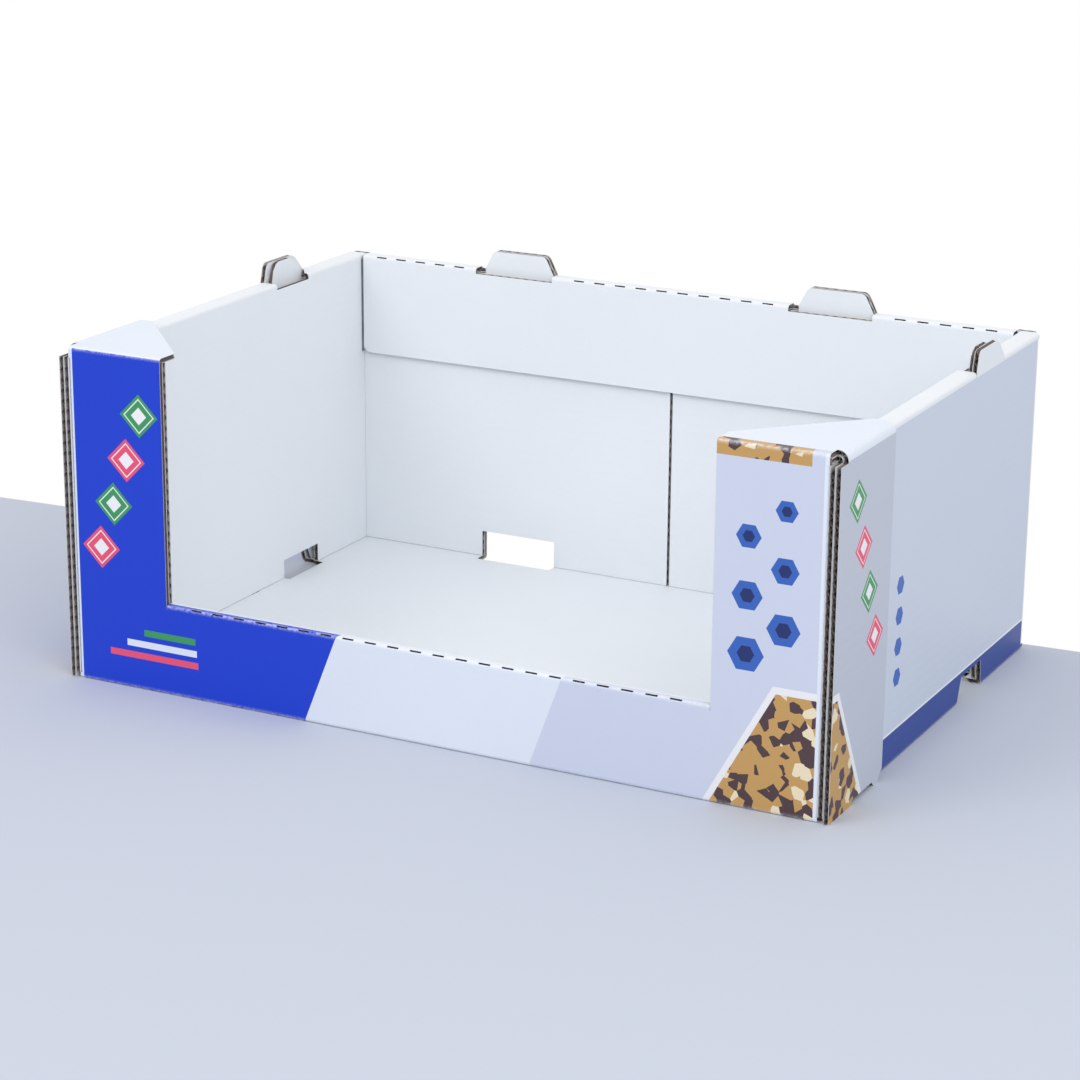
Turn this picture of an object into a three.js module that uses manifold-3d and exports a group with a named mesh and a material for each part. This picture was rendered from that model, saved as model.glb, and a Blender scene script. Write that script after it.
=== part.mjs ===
// Counter display tray: one die-cut blank of white-lined corrugated board, folded and glued.
// Millimetres, +Z up. The origin is at the middle of the base, and the open front faces -Y.

import * as THREE from 'three';
import { mergeVertices } from 'three/addons/utils/BufferGeometryUtils.js';
import Module from 'manifold-3d';

// Board
const board = 3.8;            // thickness of the single-wall board
const layerGap = 0.3;         // air between two glued layers
const foldRadius = 3;         // outside radius of a fold
const foldSteps = 3;          // flat facets round a fold
const curlRadius = 7.2;       // outside radius of the wide fold from a cap to its outer flap
const curlSteps = 5;          // flat facets round it
const lap = 12;               // how far a tab's foot reaches down behind the rim

// Overall size, at the outer faces
const overallWidth = 600;     // over the two outer side flaps
const overallDepth = 400;     // front face to back face
const capHeight = 250;        // base to the top of the front caps

// Walls
const sideRimWidth = 16;      // flat band along the top of a side wall
const backRimWidth = 12;      // flat band along the top of the back wall
const hemDrop = 81;           // back band to the lower edge of its inner hem
const hemChamfer = 4;         // cut corner at each lower end of that hem
const hemEndGap = 1.8;        // between each end of the hem and the side's inner panel
const seamWidth = 2.4;        // gap between the two rear flaps, at the middle of the back
const hiddenFlapMargin = 12;  // how far the flap hidden in a side wall runs on past the tab

// Front
const lipHeight = 68.4;       // base to the top of the low lip
const postWidth = 77.8;       // front panel's edge to the inner edge of a post
const capStep = 19;           // length of a cap's short edge behind the post
const capDepth = 94;          // front face to the rear edge of a cap
const cornerRelief = 12;      // front face to the front end of the wide fold
const cornerReliefDrop = 8.2;  // top of the cap to the foot of that cut-back corner
const flapStepStart = 41;     // front face to the start of the raised stretch of an outer flap
const flapStepEnd = 76;       // front face to the end of that stretch
const flapStepRise = 3.5;     // height of that stretch over the base
const flapToeChamfer = 8;     // cut corner behind the outer flap's toe

// Stacking tabs on the rim, and the openings at the floor that take them
const tabRise = 14.6;         // rim to the top of a tab
const backTabX = 135.8;       // middle of the box to the middle of a back tab
const sideTabFromFront = 286; // front face to the place that a side tab's outline is measured from
const rimSlotDrop = 4.5;      // how far the slot round a tab reaches down the inner face
const backSlotSlack = 6.5;    // free length of a back slot on one side of the tab
const sideSlotSlack = 3;      // free length of a side slot behind the tab's top
const tabClearance = 0.5;     // between a tab and what is cut round it
const windowHalfBack = 33.2;  // half width of a floor window in the back
const windowTopBack = 25.2;   // base to the top of that window
const floorCutBack = 9;       // how far the base is cut back in front of it
const windowHalfSide = 26;    // half width of a floor window in a side's inner panel
const windowTopSide = 19;     // base to the top of that window
const floorCutSide = 5;       // how far the base is cut back beside it
const windowFromFront = 288;  // front face to the middle of that window
const notchTop = 20.2;        // base to the top of a side wall's outer notch

// Where each tab's foot and top start and end along its wall, from its own place, and the size of its
// softened top corners
const backTab = { foot: [-30.5, 30.5], top: [-23, 23], corner: 2 };
const sideTab = { foot: [-26, 31.5], top: [-22, 17], corner: 3 };
const sideInnerTab = { foot: [-21, 22], top: [-17, 11], corner: 6 };

// The same for the outer notches, which differ between the left and the right side
const leftNotch = { foot: [-34.5, 30.5], top: [-26.3, 23] };
const rightNotch = { foot: [-34.5, 17], top: [-26.3, 14.5] };

// Slits that weaken a fold so that it folds square
const slitLength = 9;
const slitPitch = 18;
const slitWidth = 1.6;
const slitEndMargin = 12;

// Lock slots in the base, along the inner side panels
const lockSlotFromFront = 214;
const lockSlotLength = 11;

// Places worked out from the sizes above
const layer = board + layerGap;
const rimHeight = capHeight - layer;
const front = -overallDepth / 2;
const back = overallDepth / 2;
const outerX = overallWidth / 2;
const wallX = outerX - layer;
const panelX = wallX - layer;
const innerX = wallX - sideRimWidth;
const innerBackX = innerX + board;
const rimHalf = innerX - hemEndGap;
const postX = panelX - postWidth;
const minorY = back - layer;
const minorInnerY = minorY - board;
const hemY = back - backRimWidth;
const postBackY = front + layer;
const lipHemY = postBackY + board;
const floorTop = board + layerGap;
const underRim = rimHeight - layer;
const sideTabY = front + sideTabFromFront;
const windowY = front + windowFromFront;
const endMargin = 10;         // how far a cut runs on past the faces that it goes through
const grid = 0.001;           // spacing that every corner is rounded to

const wasm = await Module();
wasm.setup();

// Rounding puts the faces that two panels share in exactly the same plane
function toSolid(geometry) {
  const bare = geometry.clone();
  bare.deleteAttribute('normal');
  bare.deleteAttribute('uv');
  const places = bare.attributes.position.array;
  places.forEach((value, i) => {
    places[i] = Math.round(value / grid) * grid;
  });
  const merged = mergeVertices(bare, grid / 10);
  return new wasm.Manifold(new wasm.Mesh({
    numProp: 3,
    vertProperties: new Float32Array(merged.attributes.position.array),
    triVerts: new Uint32Array(merged.index.array),
  }));
}

// Where an outline's own X and Y and the way it is extruded point, for each axis of extrusion
const extrudeFrames = {
  x: [new THREE.Vector3(0, 1, 0), new THREE.Vector3(0, 0, 1), new THREE.Vector3(1, 0, 0)],
  y: [new THREE.Vector3(1, 0, 0), new THREE.Vector3(0, 0, 1), new THREE.Vector3(0, -1, 0)],
  z: [new THREE.Vector3(1, 0, 0), new THREE.Vector3(0, 1, 0), new THREE.Vector3(0, 0, 1)],
};

// Extrudes an outline along one axis. Its points are (y, z) for x, (x, z) for y and (x, y) for z.
function prism(outline, axis, from, to) {
  const shape = new THREE.Shape(outline.map(([a, b]) => new THREE.Vector2(a, b)));
  const geometry = new THREE.ExtrudeGeometry(shape, { depth: Math.abs(to - from), bevelEnabled: false });
  geometry.applyMatrix4(new THREE.Matrix4().makeBasis(...extrudeFrames[axis]));
  const start = axis === 'y' ? Math.max(from, to) : Math.min(from, to);
  const move = { x: 0, y: 0, z: 0, [axis]: start };
  geometry.translate(move.x, move.y, move.z);
  return toSolid(geometry);
}

function slab(x0, x1, y0, y1, z0, z1) {
  return prism([[x0, y0], [x1, y0], [x1, y1], [x0, y1]], 'z', z0, z1);
}

// A piece with one hollow round face, which touches both faces of a corner. Ways a and b point along
// those faces, in the same two axes as an outline's points, and reach is how far it goes past them.
function cornerPiece(point, a, b, axis, from, to, radius, steps, reach) {
  const at = (alongA, alongB) => [
    point[0] + a[0] * alongA + b[0] * alongB,
    point[1] + a[1] * alongA + b[1] * alongB,
  ];
  const outline = [at(-reach, radius), at(-reach, -reach), at(radius, -reach)];
  for (let i = 0; i <= steps; i += 1) {
    const angle = (Math.PI / 2) * (i / steps);
    outline.push(at(radius * (1 - Math.sin(angle)), radius * (1 - Math.cos(angle))));
  }
  return prism(outline, axis, from, to);
}

// The piece that rounds off a fold's sharp outer edge
function foldCutter(point, a, b, axis, from, to) {
  return cornerPiece(point, a, b, axis, from, to, foldRadius, foldSteps, endMargin);
}

// The same on one side of the box: side is 1 on the right, and -1 mirrors it to the left
function sideFoldCutter(side, point, a, b, axis, from, to) {
  const mirror = ([x, other]) => [side * x, other];
  return foldCutter(mirror(point), mirror(a), mirror(b), axis, from, to);
}

function sideSlab(side, x0, x1, y0, y1, z0, z1) {
  return slab(Math.min(side * x0, side * x1), Math.max(side * x0, side * x1), y0, y1, z0, z1);
}

const join = (solids) => solids.reduce((whole, solid) => whole.add(solid));
const cut = (solid, holes) => holes.reduce((left, hole) => left.subtract(hole), solid);
const inX = [1, 0];
const outX = [-1, 0];
const second = [0, 1];
const secondBack = [0, -1];

// A tab's outline along its wall. It starts below the rim.
function tabOutline({ foot, top, corner }, place) {
  const tip = rimHeight + tabRise;
  const softening = corner * (1 - Math.SQRT1_2);
  const edge = (end, inward) => {
    const slant = (foot[end] - top[end]) * (corner / tabRise);
    return [
      [foot[end], underRim - lap],
      [foot[end], rimHeight],
      [top[end] + slant, tip - corner],
      [top[end] + inward * softening, tip - softening],
      [top[end] + inward * corner, tip],
    ];
  };
  return [...edge(1, -1), ...edge(0, 1).reverse()].map(([along, z]) => [place + along, z]);
}

// Slits at regular places between two ends, as a list of [from, to], clear of the slots named
function slitSpans(from, to, slots = []) {
  const room = to - from - 2 * slitEndMargin - slitLength;
  const count = Math.floor(room / slitPitch) + 1;
  const start = (from + to - (count - 1) * slitPitch - slitLength) / 2;
  const spans = [];
  for (let i = 0; i < count; i += 1) {
    const span = [start + i * slitPitch, start + i * slitPitch + slitLength];
    const clear = slots.every(([a, b]) => span[1] < a - slitWidth || span[0] > b + slitWidth);
    if (clear) {
      spans.push(span);
    }
  }
  return spans;
}

// A slit along a fold that runs in x. It goes through the fold on its diagonal.
function foldSlit(y, z, inward, [from, to]) {
  const at = (along, across) => [y + inward * (along + across), z - along + across];
  const start = -slitWidth;
  const end = board + slitWidth;
  const half = slitWidth / 2;
  return prism([at(start, -half), at(start, half), at(end, half), at(end, -half)], 'x', from, to);
}

function basePanel() {
  const plate = slab(-panelX, panelX, front, back, 0, board);
  const turns = slab(-wallX, wallX, front + foldRadius, minorY, 0, board);
  const slotY = front + lockSlotFromFront;
  const slots = [-1, 1].map((side) => sideSlab(side, innerX - layerGap, innerBackX,
    slotY, slotY + lockSlotLength, -endMargin, board + endMargin));
  return cut(plate.add(turns), slots);
}

// The front panel: the low lip, folded over to a hem behind it, and the two posts
function frontPanel() {
  const lipHalf = postX - layerGap;
  const posts = [-1, 1].map((side) => sideSlab(side, postX, panelX, front, front + board, 0, capHeight));
  return join([
    slab(-panelX, panelX, front, front + board, 0, lipHeight),
    slab(-lipHalf, lipHalf, front, lipHemY, lipHeight - board, lipHeight),
    slab(-lipHalf, lipHalf, postBackY, lipHemY, floorTop, lipHeight),
    ...posts,
  ]);
}

// The front panel's flap folds back into the side wall, and carries the inner layer of the side tab
function frontSideFlap(side) {
  const end = sideTabY + sideTab.foot[1] + hiddenFlapMargin;
  return sideSlab(side, panelX - board, panelX, front, end, floorTop, underRim);
}

// The cap folds back from the post's top over the rim, and its flap hangs outside the side wall
function capAndFlap(side) {
  const cap = prism([
    [postX, front],
    [outerX, front],
    [outerX, front + capDepth],
    [innerBackX, front + capDepth],
    [postX, front + capStep],
  ].map(([x, y]) => [side * x, y]), 'z', capHeight - board, capHeight);
  const flap = sideSlab(side, outerX - board, outerX, front, front + capDepth, 0, capHeight);
  const toe = front + capDepth;
  const step = prism([
    [front + flapStepStart, -endMargin],
    [front + flapStepStart, flapStepRise],
    [front + flapStepEnd, flapStepRise],
    [front + flapStepEnd + flapStepRise, 0],
    [front + flapStepEnd + flapStepRise, -endMargin],
  ], 'x', side * outerX - board - endMargin, side * outerX + board + endMargin);
  const chamfer = prism([
    [toe - flapToeChamfer, -endMargin],
    [toe - flapToeChamfer, 0],
    [toe, flapToeChamfer],
    [toe + endMargin, flapToeChamfer],
    [toe + endMargin, -endMargin],
  ], 'x', side * outerX - board - endMargin, side * outerX + board + endMargin);
  return roundCurl(side, cap.add(cut(flap, [step, chamfer])));
}

// Rounds the fold from a cap to its flap, inside and out, and cuts its front corner back
function roundCurl(side, capWithFlap) {
  const inner = curlRadius - board;
  const rear = front + capDepth;
  const hollow = cornerPiece([side * (outerX - board), capHeight - board], [-side, 0], secondBack,
    'y', front, rear, inner, curlSteps, board / 4);
  const rounding = cornerPiece([side * outerX, capHeight], [-side, 0], secondBack,
    'y', front - endMargin, rear + endMargin, curlRadius, curlSteps, endMargin);
  return cut(capWithFlap.add(hollow), [rounding]);
}

// The outer side wall, its rim band and the inner panel that goes down to the floor
function sideWall(side) {
  const shell = join([
    sideSlab(side, wallX - board, wallX, front, minorY, 0, rimHeight),
    sideSlab(side, innerX, wallX, postBackY, minorY, rimHeight - board, rimHeight),
    sideSlab(side, innerX, innerBackX, postBackY, hemY - layerGap, floorTop, rimHeight),
    sideSlab(side, innerX, innerBackX, postBackY, minorInnerY - layerGap, floorTop, rimHeight - hemDrop),
  ]);
  const slotStart = sideTabY + sideTab.foot[0] - tabClearance;
  const slot = prism([
    [wallX - board, slotStart],
    [wallX - board, sideTabY + sideTab.foot[1] + tabClearance],
    [innerBackX, sideTabY + sideTab.top[1] + sideSlotSlack],
    [innerX - endMargin, sideTabY + sideTab.top[1] + sideSlotSlack],
    [innerX - endMargin, slotStart],
  ].map(([x, y]) => [side * x, y]), 'z', rimHeight - rimSlotDrop, rimHeight + endMargin);
  return cut(shell, [
    slot,
    sideFoldCutter(side, [wallX, rimHeight], outX, secondBack, 'y', postBackY, minorY),
    sideFoldCutter(side, [innerX, rimHeight], inX, secondBack, 'y', front + capDepth, minorY),
  ]);
}

// The flap from the inner side panel that backs the post
function postLining(side) {
  return sideSlab(side, postX + layerGap, innerBackX, postBackY, lipHemY, floorTop, rimHeight);
}

// The flap from the side wall's rear edge that forms the middle layer of the back
function rearFlap(side) {
  return sideSlab(side, seamWidth / 2, wallX, minorInnerY, minorY, floorTop, underRim);
}

// The back wall, its rim band and the hem that hangs inside it
function backWall() {
  const hemFoot = rimHeight - hemDrop;
  const slotSpans = [-1, 1].map((side) => [
    side * backTabX + backTab.foot[0] - backSlotSlack, side * backTabX + backTab.foot[1] + tabClearance,
  ]);
  const slots = slotSpans.map(([from, to]) => slab(from, to, hemY - endMargin, back - board,
    rimHeight - rimSlotDrop, rimHeight + endMargin));
  const chamfers = [-1, 1].map((side) => prism([
    [side * (rimHalf - hemChamfer), hemFoot],
    [side * (rimHalf - hemChamfer), hemFoot - endMargin],
    [side * (rimHalf + endMargin), hemFoot - endMargin],
    [side * (rimHalf + endMargin), hemFoot + hemChamfer],
    [side * rimHalf, hemFoot + hemChamfer],
  ], 'y', hemY - endMargin, hemY + board + layerGap / 2));
  const slits = slitSpans(-rimHalf, rimHalf, slotSpans).map((span) => foldSlit(hemY, rimHeight, 1, span));
  return cut(join([
    slab(-panelX, panelX, back - board, back, 0, rimHeight),
    slab(-rimHalf, rimHalf, hemY, back, rimHeight - board, rimHeight),
    slab(-rimHalf, rimHalf, hemY, hemY + board, hemFoot, rimHeight),
  ]), [
    ...slots,
    ...chamfers,
    foldCutter([back, rimHeight], outX, secondBack, 'x', -rimHalf, rimHalf),
    foldCutter([hemY, rimHeight], inX, secondBack, 'x', -rimHalf, rimHalf),
    ...slits,
  ]);
}

// Two layers stand up at each tab: the outer wall's, and the middle layer's behind it
function tabs() {
  return [-1, 1].flatMap((side) => [
    prism(tabOutline(backTab, side * backTabX), 'y', back - board, back),
    prism(tabOutline(backTab, side * backTabX), 'y', minorInnerY, minorY),
    prism(tabOutline(sideTab, sideTabY), 'x', side * (wallX - board), side * wallX),
    prism(tabOutline(sideInnerTab, sideTabY), 'x', side * (panelX - board), side * panelX),
  ]);
}

// Openings at the floor, below the tabs
function floorCuts() {
  return [-1, 1].flatMap((side) => {
    const middle = side * backTabX;
    const notch = side < 0 ? leftNotch : rightNotch;
    return [
      slab(middle - windowHalfBack, middle + windowHalfBack,
        minorInnerY - floorCutBack, back + endMargin, -endMargin, windowTopBack),
      sideSlab(side, innerX - floorCutSide, innerBackX + layerGap,
        windowY - windowHalfSide, windowY + windowHalfSide, -endMargin, windowTopSide),
      prism([
        [sideTabY + notch.foot[0], -endMargin],
        [sideTabY + notch.foot[1], -endMargin],
        [sideTabY + notch.foot[1], 0],
        [sideTabY + notch.top[1], notchTop],
        [sideTabY + notch.top[0], notchTop],
        [sideTabY + notch.foot[0], 0],
      ], 'x', side * innerBackX, side * (wallX + endMargin)),
    ];
  });
}

// What is cut off the folds apart from those of the rim: their sharp edges, the slits along the lip's
// front fold, and the upper front corners beside the posts
function foldCutters() {
  const cutters = [
    foldCutter([front, 0], inX, second, 'x', -panelX, panelX),
    foldCutter([back, 0], outX, second, 'x', -panelX, panelX),
    foldCutter([front, lipHeight], inX, secondBack, 'x', -postX, postX),
    foldCutter([lipHemY, lipHeight], outX, secondBack, 'x', -postX, postX),
    ...slitSpans(-postX, postX).map((span) => foldSlit(front, lipHeight, 1, span)),
  ];
  [-1, 1].forEach((side) => {
    cutters.push(
      sideFoldCutter(side, [wallX, 0], outX, second, 'y', front + foldRadius, minorY),
      sideFoldCutter(side, [panelX, front], outX, second, 'z', floorTop, underRim),
      sideFoldCutter(side, [wallX, minorY], outX, secondBack, 'z', floorTop, underRim),
      foldCutter([front, capHeight], inX, secondBack, 'x', side * postX, side * panelX),
      sideSlab(side, panelX, outerX + endMargin, front - endMargin, front + cornerRelief,
        capHeight - cornerReliefDrop, capHeight + endMargin),
    );
  });
  return cutters;
}

const whiteBoard = new THREE.MeshStandardMaterial({
  name: 'board', color: 0xdfe6f1, roughness: 0.62, metalness: 0,
});

function trayGeometry() {
  const panels = [basePanel(), frontPanel(), backWall()];
  [-1, 1].forEach((side) => {
    panels.push(frontSideFlap(side), capAndFlap(side), sideWall(side), postLining(side), rearFlap(side));
  });
  const folded = cut(join(panels), foldCutters());
  const mesh = cut(join([folded, ...tabs()]), floorCuts()).getMesh();
  const geometry = new THREE.BufferGeometry();
  geometry.setAttribute('position', new THREE.BufferAttribute(mesh.vertProperties, 3));
  geometry.setIndex(new THREE.BufferAttribute(mesh.triVerts, 1));
  geometry.computeVertexNormals();
  return geometry;
}

const tray = new THREE.Mesh(trayGeometry(), whiteBoard);
tray.name = 'display_tray';

const group = new THREE.Group();
group.add(tray);

export default group;
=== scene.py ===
"""Counter display tray: the dressed model of one folded and glued blank of corrugated board.

Sizes are written in millimetres and turned into metres when a mesh is made. The tray stands on z = 0,
its open front faces -Y, and the origin is at the middle of its base.
"""
import math

import bpy
import numpy as np
from mathutils import Matrix, Vector
from mathutils.geometry import delaunay_2d_cdt


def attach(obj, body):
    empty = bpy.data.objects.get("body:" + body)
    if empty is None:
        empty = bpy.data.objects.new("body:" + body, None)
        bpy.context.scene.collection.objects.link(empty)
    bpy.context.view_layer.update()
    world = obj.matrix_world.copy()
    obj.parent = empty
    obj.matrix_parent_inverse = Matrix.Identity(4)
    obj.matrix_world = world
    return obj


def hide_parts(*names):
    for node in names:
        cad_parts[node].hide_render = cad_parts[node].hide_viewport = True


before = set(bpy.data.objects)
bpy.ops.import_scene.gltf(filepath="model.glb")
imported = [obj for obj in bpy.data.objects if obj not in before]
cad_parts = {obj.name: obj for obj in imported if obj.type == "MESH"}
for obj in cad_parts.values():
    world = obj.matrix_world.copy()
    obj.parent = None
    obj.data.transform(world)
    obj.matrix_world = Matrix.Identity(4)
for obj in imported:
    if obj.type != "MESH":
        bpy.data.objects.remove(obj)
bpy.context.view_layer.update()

MM = 0.001
NODE = "display_tray"

# Board: two liners and a fluted medium between them
BOARD = 3.8
LINER = 0.35
MEDIUM = 0.24
FLUTE_PITCH = 7.8
FLUTE_STEPS = 6
GAP = 0.3
LAYER = BOARD + GAP
INNER_FOLD_RADIUS = 0.15
OUTER_FOLD_RADIUS = 2.6
ZONE = BOARD + INNER_FOLD_RADIUS
FOLD_STEPS = 8
MEDIUM_FOLD_STEPS = 4
CURL_RADIUS = 7.2
SHARP_EDGE = math.radians(32)

# Material slots of a board's mesh: its outer face, its inner face, the liners' edges, the medium, and the
# outer face of the back wall
PRINT, WHITE, CORE, FLUTE, BACK_PRINT = range(5)

# How far lines that cut a flat outline run past it, and how near counts as on an edge: of one point to
# another, of a place to a zone's end, and of a place to a tab's outline
OUTLINE_MARGIN = 1.0
SAME_POINT = 1e-5
SAME_LINE = 0.01
NEAR_TAB = 0.1

# The tray's outer sizes and the places of its layers
FRONT = -200.0
BACK = 200.0
OUTER_X = 300.0
CAP_HEIGHT = 250.0
RIM = CAP_HEIGHT - LAYER
WALL_X = OUTER_X - LAYER
PANEL_X = WALL_X - LAYER
SIDE_RIM_WIDTH = 16.0
BACK_RIM_WIDTH = 12.0
INNER_X = WALL_X - SIDE_RIM_WIDTH
INNER_BACK_X = INNER_X + BOARD
BASE_X = WALL_X - ZONE
MINOR_Y = BACK - LAYER
MINOR_INNER_Y = MINOR_Y - BOARD
HEM_Y = BACK - BACK_RIM_WIDTH
POST_BACK_Y = FRONT + LAYER
LIP_HEM_Y = POST_BACK_Y + BOARD
FLOOR_TOP = LAYER
UNDER_RIM = RIM - LAYER
HEM_END_GAP = 1.8
RIM_HALF = INNER_X - HEM_END_GAP
HEM_DROP = 81.0
HEM_CHAMFER = 4.0
SEAM_WIDTH = 2.4
FRONT_FOLD_START = 3.0

# Front
LIP_HEIGHT = 68.4
POST_WIDTH = 77.8
POST_X = PANEL_X - POST_WIDTH
LIP_HALF = POST_X - GAP
CAP_STEP = 19.0
CAP_DEPTH = 94.0
CORNER_RELIEF = 12.0
CORNER_RELIEF_DROP = 8.2
RELIEF_Z = CAP_HEIGHT - CORNER_RELIEF_DROP
FLAP_STEP_START = 41.0
FLAP_STEP_END = 76.0
FLAP_STEP_RISE = 3.5
FLAP_TOE_CHAMFER = 8.0

# Stacking tabs: where the foot and the top of each start and end, from its own place along the wall,
# and the size of its softened top corners
TAB_RISE = 14.6
BACK_TAB = ((-30.5, 30.5), (-23.0, 23.0), 2.0)
SIDE_TAB = ((-26.0, 31.5), (-22.0, 17.0), 3.0)
SIDE_INNER_TAB = ((-21.0, 22.0), (-17.0, 11.0), 6.0)
BACK_TAB_X = 135.8
SIDE_TAB_Y = FRONT + 286.0
HIDDEN_FLAP_MARGIN = 12.0
HIDDEN_FLAP_END = SIDE_TAB_Y + SIDE_TAB[0][1] + HIDDEN_FLAP_MARGIN

# Slots round the tabs, and the openings at the floor. A notch's ends are for the left and the right side.
SLOT_DROP = 4.5
SLOT_MOUTH = 1.0
BACK_SLOT_SLACK = 6.5
SIDE_SLOT_SLACK = 3.0
TAB_CLEARANCE = 0.5
BACK_WINDOW_HALF = 33.2
BACK_WINDOW_TOP = 25.2
SIDE_WINDOW_MIDDLE = FRONT + 288.0
SIDE_WINDOW_HALF = 26.0
SIDE_WINDOW_Y = (SIDE_WINDOW_MIDDLE - SIDE_WINDOW_HALF, SIDE_WINDOW_MIDDLE + SIDE_WINDOW_HALF)
SIDE_WINDOW_TOP = 19.0
NOTCH_TOP = 20.2
NOTCH_FOOT = {-1: (-34.5, 30.5), 1: (-34.5, 17.0)}
NOTCH_HEAD = {-1: (-26.3, 23.0), 1: (-26.3, 14.5)}
BACK_FLOOR_CUT = 9.0
SIDE_FLOOR_CUT = 5.0

# Slits along folds, and the lock slots in the base
SLIT_LENGTH = 9.0
SLIT_PITCH = 18.0
SLIT_HALF_WIDTH = 0.8
SLIT_END_MARGIN = 12.0
LOCK_SLOT_FROM_FRONT = 214.0
LOCK_SLOT_LENGTH = 11.0


# Fold profiles

class Path:
    """A profile of flat stretches and square folds, given by the sharp corners of its outer face."""

    def __init__(self, corners, side, outer_radius=OUTER_FOLD_RADIUS, inner_radius=INNER_FOLD_RADIUS):
        self.corners = [Vector(corner) for corner in corners]
        self.side = side
        self.outer_radius = outer_radius
        self.inner_radius = inner_radius
        self.zone = BOARD + inner_radius
        self.stops = [0.0]
        for a, b in zip(self.corners, self.corners[1:]):
            self.stops.append(self.stops[-1] + (b - a).length)

    def way(self, stretch):
        return (self.corners[stretch + 1] - self.corners[stretch]).normalized()

    def inward(self, stretch):
        way = self.way(stretch)
        return Vector((-way.y, way.x)) * self.side

    def folds(self):
        return self.stops[1:-1]

    def at(self, along, depth):
        for i, stop in enumerate(self.folds(), start=1):
            if abs(along - stop) < self.zone:
                return self.fold_at(i, (along - stop + self.zone) / (2 * self.zone), depth)
        stretch = sum(along > stop for stop in self.folds())
        start = self.corners[stretch] + self.way(stretch) * (along - self.stops[stretch])
        return start + self.inward(stretch) * depth

    def fold_at(self, i, share, depth):
        corner = self.corners[i]
        way_in, way_out = self.way(i - 1), self.way(i)
        before, after = self.inward(i - 1), self.inward(i)
        straight = self.zone - self.outer_radius
        arc = self.outer_radius * math.pi / 2
        run = share * (2 * straight + arc)
        if run < straight:
            outer = corner - way_in * (self.zone - run)
        elif run > straight + arc:
            outer = corner + way_out * (self.outer_radius + run - straight - arc)
        else:
            turn = (run - straight) / self.outer_radius
            centre = corner + (before - way_in) * self.outer_radius
            outer = centre - (before * math.cos(turn) + after * math.sin(turn)) * self.outer_radius
        turn = share * math.pi / 2
        centre = corner + (before - way_in) * self.zone
        inner = centre - (before * math.cos(turn) + after * math.sin(turn)) * self.inner_radius
        return outer.lerp(inner, depth / BOARD)

    def crease(self, along):
        nearest = min((abs(along - stop) for stop in self.folds()), default=self.zone)
        return max(0.0, 1.0 - nearest / self.zone)


# Board meshes

def inside(points, loops):
    """Which of the points lie inside an outline and outside its holes."""
    odd = np.zeros(len(points), dtype=bool)
    px, py = points[:, 0], points[:, 1]
    for loop in loops:
        for (ax, ay), (bx, by) in zip(loop, loop[1:] + loop[:1]):
            if ay == by:
                continue
            crosses = (ay > py) != (by > py)
            meets = ax + (py - ay) * (bx - ax) / (by - ay)
            odd ^= crosses & (px < meets)
    return odd


def triangulate(loops, lines):
    """Triangles that fill an outline with holes, cut along the lines as well."""
    points = []
    edges = []
    for loop in loops:
        first = len(points)
        count = len(loop)
        points += [Vector(point) for point in loop]
        edges += [(first + i, first + (i + 1) % count) for i in range(count)]
    for a, b in lines:
        edges.append((len(points), len(points) + 1))
        points += [Vector(a), Vector(b)]
    verts, _, faces, *_ = delaunay_2d_cdt(points, edges, [], 0, SAME_POINT, False)
    flat = np.array([(v.x, v.y) for v in verts])
    triangles = np.array([tuple(face) for face in faces])
    kept = triangles[inside(flat[triangles].mean(axis=1), loops)]
    used, renumbered = np.unique(kept, return_inverse=True)
    return flat[used].tolist(), renumbered.reshape(-1, 3).tolist()


class Board:
    """Gathers the liners and the medium of one or more stretches of board into one mesh."""

    def __init__(self, name, materials):
        self.name = name
        self.materials = materials
        self.points = []
        self.crease = []
        self.flute = []
        self.faces = []
        self.slots = []

    def layer(self, flat, triangles, place, depths, near_slot, far_slot, edge_slot):
        """A closed sheet between two depths. The near face's slot depends on the place in the flat."""
        first = len(self.points)
        count = len(flat)
        for depth_at in depths:
            for along, across in flat:
                point, crease, flute = place(along, across, depth_at(along, across))
                self.points.append(point)
                self.crease.append(crease)
                self.flute.append(flute)
        edges = set()
        for a, b, c in triangles:
            middle = [sum(flat[corner][axis] for corner in (a, b, c)) / 3 for axis in (0, 1)]
            self.faces.append((first + a, first + b, first + c))
            self.slots.append(near_slot(*middle))
            self.faces.append((first + count + a, first + count + c, first + count + b))
            self.slots.append(far_slot)
            edges.update(((a, b), (b, c), (c, a)))
        for a, b in sorted(edges):
            if (b, a) not in edges:
                self.faces.append((first + b, first + a, first + count + a, first + count + b))
                self.slots.append(edge_slot)

    def make(self):
        mesh = bpy.data.meshes.new(self.name)
        mesh.from_pydata([[value * MM for value in point] for point in self.points], [], self.faces)
        for material in self.materials:
            mesh.materials.append(material)
        mesh.polygons.foreach_set("material_index", self.slots)
        mesh.polygons.foreach_set("use_smooth", [True] * len(self.faces))
        for name, values in (("crease", self.crease), ("flute", self.flute)):
            attribute = mesh.attributes.new(name, "FLOAT", "POINT")
            attribute.data.foreach_set("value", values)
        mesh.update()
        mesh.set_sharp_from_angle(angle=SHARP_EDGE)
        obj = bpy.data.objects.new(self.name, mesh)
        bpy.context.scene.collection.objects.link(obj)
        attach(obj, "root")
        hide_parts(NODE)


def always(value):
    return lambda along, across: value


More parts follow.
